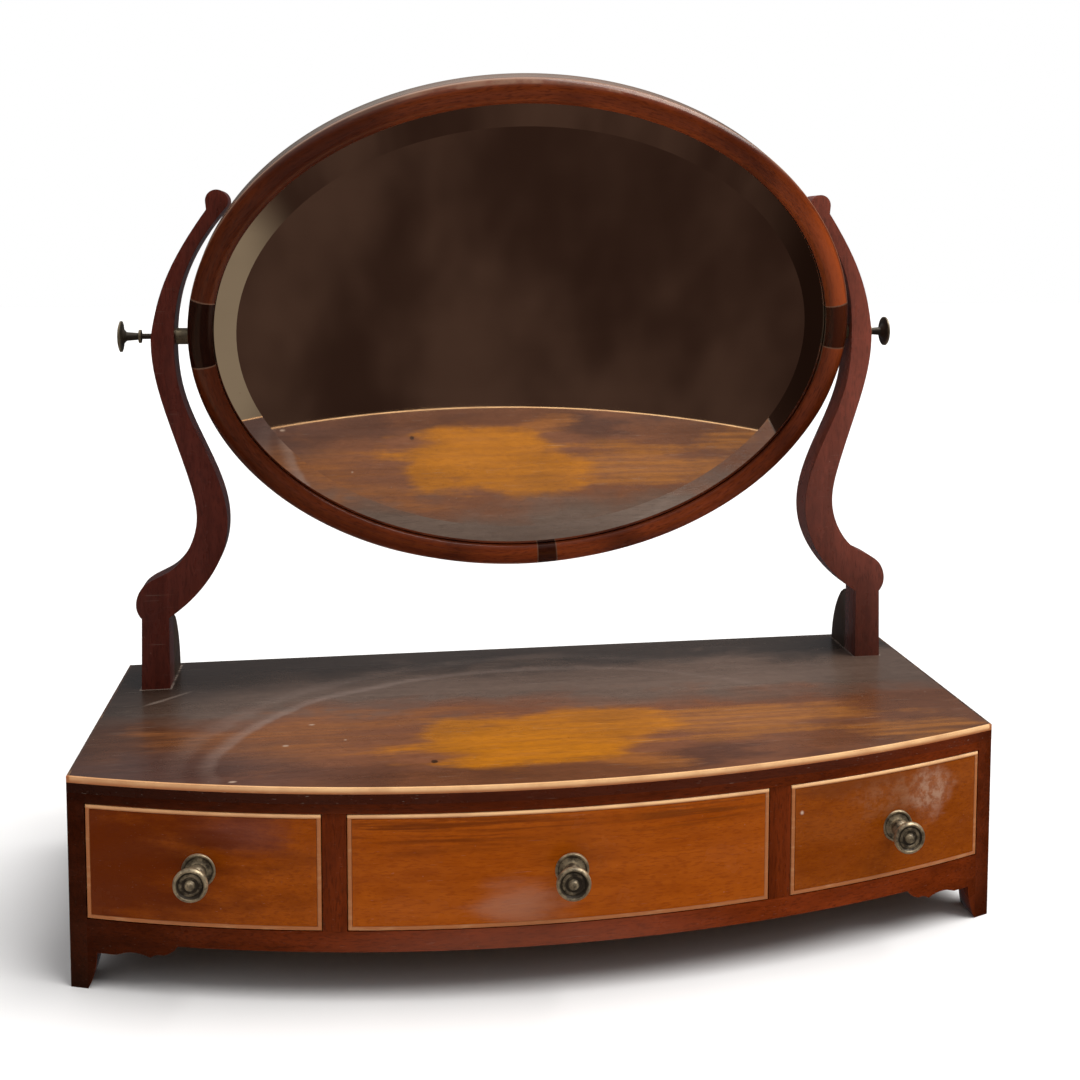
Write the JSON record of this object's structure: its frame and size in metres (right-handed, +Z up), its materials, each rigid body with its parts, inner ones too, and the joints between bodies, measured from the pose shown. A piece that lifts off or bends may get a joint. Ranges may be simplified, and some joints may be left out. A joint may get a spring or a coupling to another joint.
{
  "type": "toilet mirror",
  "caption": "Bow-fronted box with drawers on bracket feet that carries a tilting oval bevelled mirror between serpentine posts.",
  "frame": {"origin": "on the table under the middle of the object's bounding box", "axes": "+X to the right seen from the front, +Y to the back, +Z up"},
  "size_m": [0.6, 0.3122, 0.5784],
  "materials": {
    "mahogany_dark": "dark red-brown mahogany, french polished",
    "mahogany_top": "faded mahogany, worn polish",
    "mahogany_front": "warm orange-brown mahogany, glossy",
    "mahogany_post": "dark mahogany, satin",
    "mahogany_frame": "dark red mahogany, glossy",
    "boxwood": "boxwood line, polished",
    "softwood": "aged pine, bare",
    "brass": "aged brass, worn on the rims",
    "steel_screw": "dull steel",
    "mirror": "silvered plate with a bevelled edge"
  },
  "bodies": {
    "case": {"top_board": "mahogany_top", "top_stringing": "boxwood", "top_rail": "mahogany_dark", "front_apron": "mahogany_dark", "side_left": "mahogany_dark", "side_right": "mahogany_dark", "back_panel": "softwood", "bottom_board": "softwood", "partition_left": "mahogany_dark", "partition_right": "mahogany_dark", "kickers": "softwood", "drawer_stops": "softwood", "foot_blocks": "softwood", "post_left": "mahogany_post", "post_right": "mahogany_post", "post_brace_left": "mahogany_post", "post_brace_right": "mahogany_post", "post_screws": "steel_screw"},
    "left_drawer": {"left_drawer_front": "mahogany_front", "left_drawer_stringing": "boxwood", "left_drawer_side_left": "softwood", "left_drawer_side_right": "softwood", "left_drawer_bottom": "softwood", "left_drawer_back": "softwood", "left_drawer_rose": "brass", "left_drawer_knob": "brass", "left_drawer_knob_bolt": "brass"},
    "centre_drawer": {"centre_drawer_front": "mahogany_front", "centre_drawer_stringing": "boxwood", "centre_drawer_side_left": "softwood", "centre_drawer_side_right": "softwood", "centre_drawer_bottom": "softwood", "centre_drawer_back": "softwood", "centre_drawer_rose": "brass", "centre_drawer_knob": "brass", "centre_drawer_knob_bolt": "brass"},
    "right_drawer": {"right_drawer_front": "mahogany_front", "right_drawer_stringing": "boxwood", "right_drawer_side_left": "softwood", "right_drawer_side_right": "softwood", "right_drawer_bottom": "softwood", "right_drawer_back": "softwood", "right_drawer_rose": "brass", "right_drawer_knob": "brass", "right_drawer_knob_bolt": "brass"},
    "mirror": {"frame_top": "mahogany_frame", "frame_lower_left": "mahogany_frame", "frame_lower_right": "mahogany_frame", "frame_block_left": "mahogany_frame", "frame_block_right": "mahogany_frame", "frame_block_bottom": "mahogany_frame", "mirror_glass": "mirror", "glass_wedges": "softwood", "backboard": "softwood", "backboard_screws": "steel_screw", "pivot_boss_left": "brass", "pivot_boss_right": "brass"},
    "thumb_screw_left": {"thumb_screw_left": "brass"},
    "thumb_screw_right": {"thumb_screw_right": "brass"}
  },
  "joints": [
    {"name": "left_drawer_slide", "type": "slide", "parent": "case", "child": "left_drawer", "axis": [0, -1, 0], "range_m": [0, 0.15]},
    {"name": "centre_drawer_slide", "type": "slide", "parent": "case", "child": "centre_drawer", "axis": [0, -1, 0], "range_m": [0, 0.15]},
    {"name": "right_drawer_slide", "type": "slide", "parent": "case", "child": "right_drawer", "axis": [0, -1, 0], "range_m": [0, 0.15]},
    {"name": "mirror_tilt", "type": "hinge", "parent": "case", "child": "mirror", "pos_m": [0, 0.08561, 0.39], "axis": [1, 0, 0], "continuous": true},
    {"name": "thumb_screw_left_turn", "type": "hinge", "parent": "mirror", "child": "thumb_screw_left", "pos_m": [0, 0.08561, 0.39], "axis": [1, 0, 0], "continuous": true},
    {"name": "thumb_screw_right_turn", "type": "hinge", "parent": "mirror", "child": "thumb_screw_right", "pos_m": [0, 0.08561, 0.39], "axis": [1, 0, 0], "continuous": true}
  ]
}
